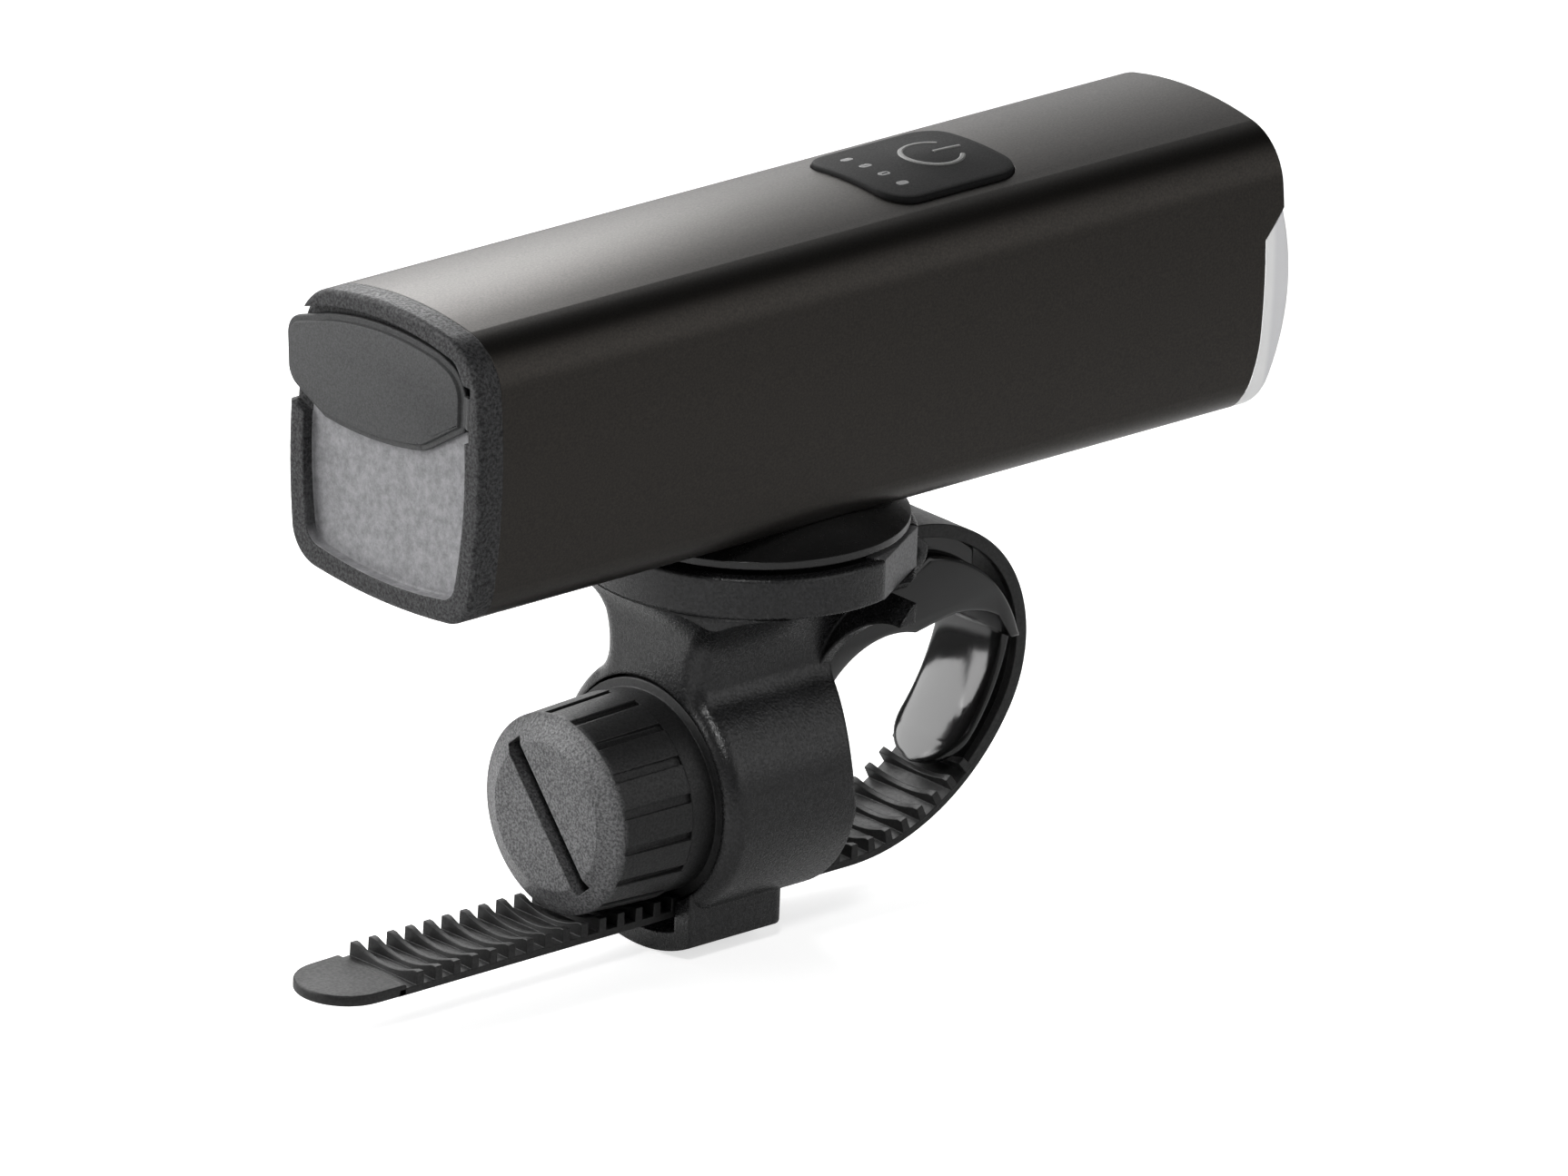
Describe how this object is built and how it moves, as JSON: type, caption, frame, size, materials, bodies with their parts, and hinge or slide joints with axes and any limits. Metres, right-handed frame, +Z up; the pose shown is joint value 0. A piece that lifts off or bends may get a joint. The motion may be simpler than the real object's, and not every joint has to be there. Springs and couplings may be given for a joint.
{
  "type": "bike headlight",
  "caption": "Slim handlebar headlight with a swivel foot on a bar bracket that a worm knob and a toothed band tie to the handlebar.",
  "frame": {"origin": "on the handlebar's axis, at the middle of the bar seat", "axes": "+X towards the beam, +Y along the handlebar, +Z up"},
  "size_m": [0.1222, 0.0356, 0.0804],
  "materials": {
    "black_anodised": "fine blasted, black anodised",
    "cap_plastic": "moulded, fine spark texture",
    "flap_rubber": "matte silicone",
    "seal_rubber": "smooth silicone",
    "lens_frost": "frosted polycarbonate",
    "reflector_plate": "vacuum metallised",
    "circuit_board": "solder mask",
    "metal_board": "white mask on aluminium",
    "emitter": "phosphor under silicone",
    "bare_aluminium": "milled",
    "cell_wrap": "shrink film over a steel can",
    "tray_plastic": "moulded",
    "plated_steel": "zinc or nickel plated",
    "button_silicone": "smooth silicone",
    "window_clear": "smoked polycarbonate",
    "foot_plastic": "moulded, smooth",
    "bracket_nylon": "moulded, coarse sparkle texture",
    "knob_nylon": "moulded, fine sparkle texture",
    "band_rubber": "satin elastomer",
    "pad_rubber": "glossy elastomer"
  },
  "bodies": {
    "bracket": {"bracket_body": "bracket_nylon", "ring_cover": "foot_plastic", "latch_spring": "plated_steel", "strap": "band_rubber", "strap_pin": "plated_steel", "bar_pad": "pad_rubber"},
    "knob": {"worm_knob": "knob_nylon", "knob_screw": "plated_steel", "knob_washer": "plated_steel"},
    "lamp": {"housing": "black_anodised", "rear_cap": "cap_plastic", "cap_gasket": "seal_rubber", "cap_screws": "plated_steel", "usb_port": "plated_steel", "charge_board": "circuit_board", "lens": "lens_frost", "lens_gasket": "seal_rubber", "reflector": "reflector_plate", "led_board": "metal_board", "led_emitters": "emitter", "heat_block": "bare_aluminium", "battery_cell": "cell_wrap", "battery_tray": "tray_plastic", "battery_tabs": "plated_steel", "control_board": "circuit_board", "switch_body": "tray_plastic", "indicator_leds": "emitter", "lamp_foot": "foot_plastic", "foot_screws": "plated_steel"},
    "latch": {"release_slider": "bracket_nylon"},
    "button": {"power_button": "button_silicone", "charge_windows": "window_clear", "switch_plunger": "tray_plastic"},
    "flap": {"charge_flap": "flap_rubber"}
  },
  "joints": [
    {"name": "lamp_swivel", "type": "hinge", "parent": "bracket", "child": "lamp", "pos_m": [-0.0152, 0, 0.0237], "axis": [0, 0, 1], "continuous": true},
    {"name": "knob_turn", "type": "hinge", "parent": "bracket", "child": "knob", "pos_m": [-0.0369, 0, -0.0016], "axis": [1, 0, 0], "continuous": true, "deforming": ["strap"]},
    {"name": "latch_press", "type": "slide", "parent": "bracket", "child": "latch", "axis": [-0.5, 0.866, 0], "range_m": [0, 0.0012], "stiffness_N_per_m": 800, "deforming": ["latch_spring"]},
    {"name": "button_press", "type": "slide", "parent": "lamp", "child": "button", "axis": [0, 0, -1], "range_m": [0, 0.0003], "stiffness_N_per_m": 2000},
    {"name": "flap_hinge", "type": "hinge", "parent": "lamp", "child": "flap", "pos_m": [-0.0658, -0.01235, 0.0521], "axis": [0, 0, 1], "range_deg": [0, 100]}
  ]
}
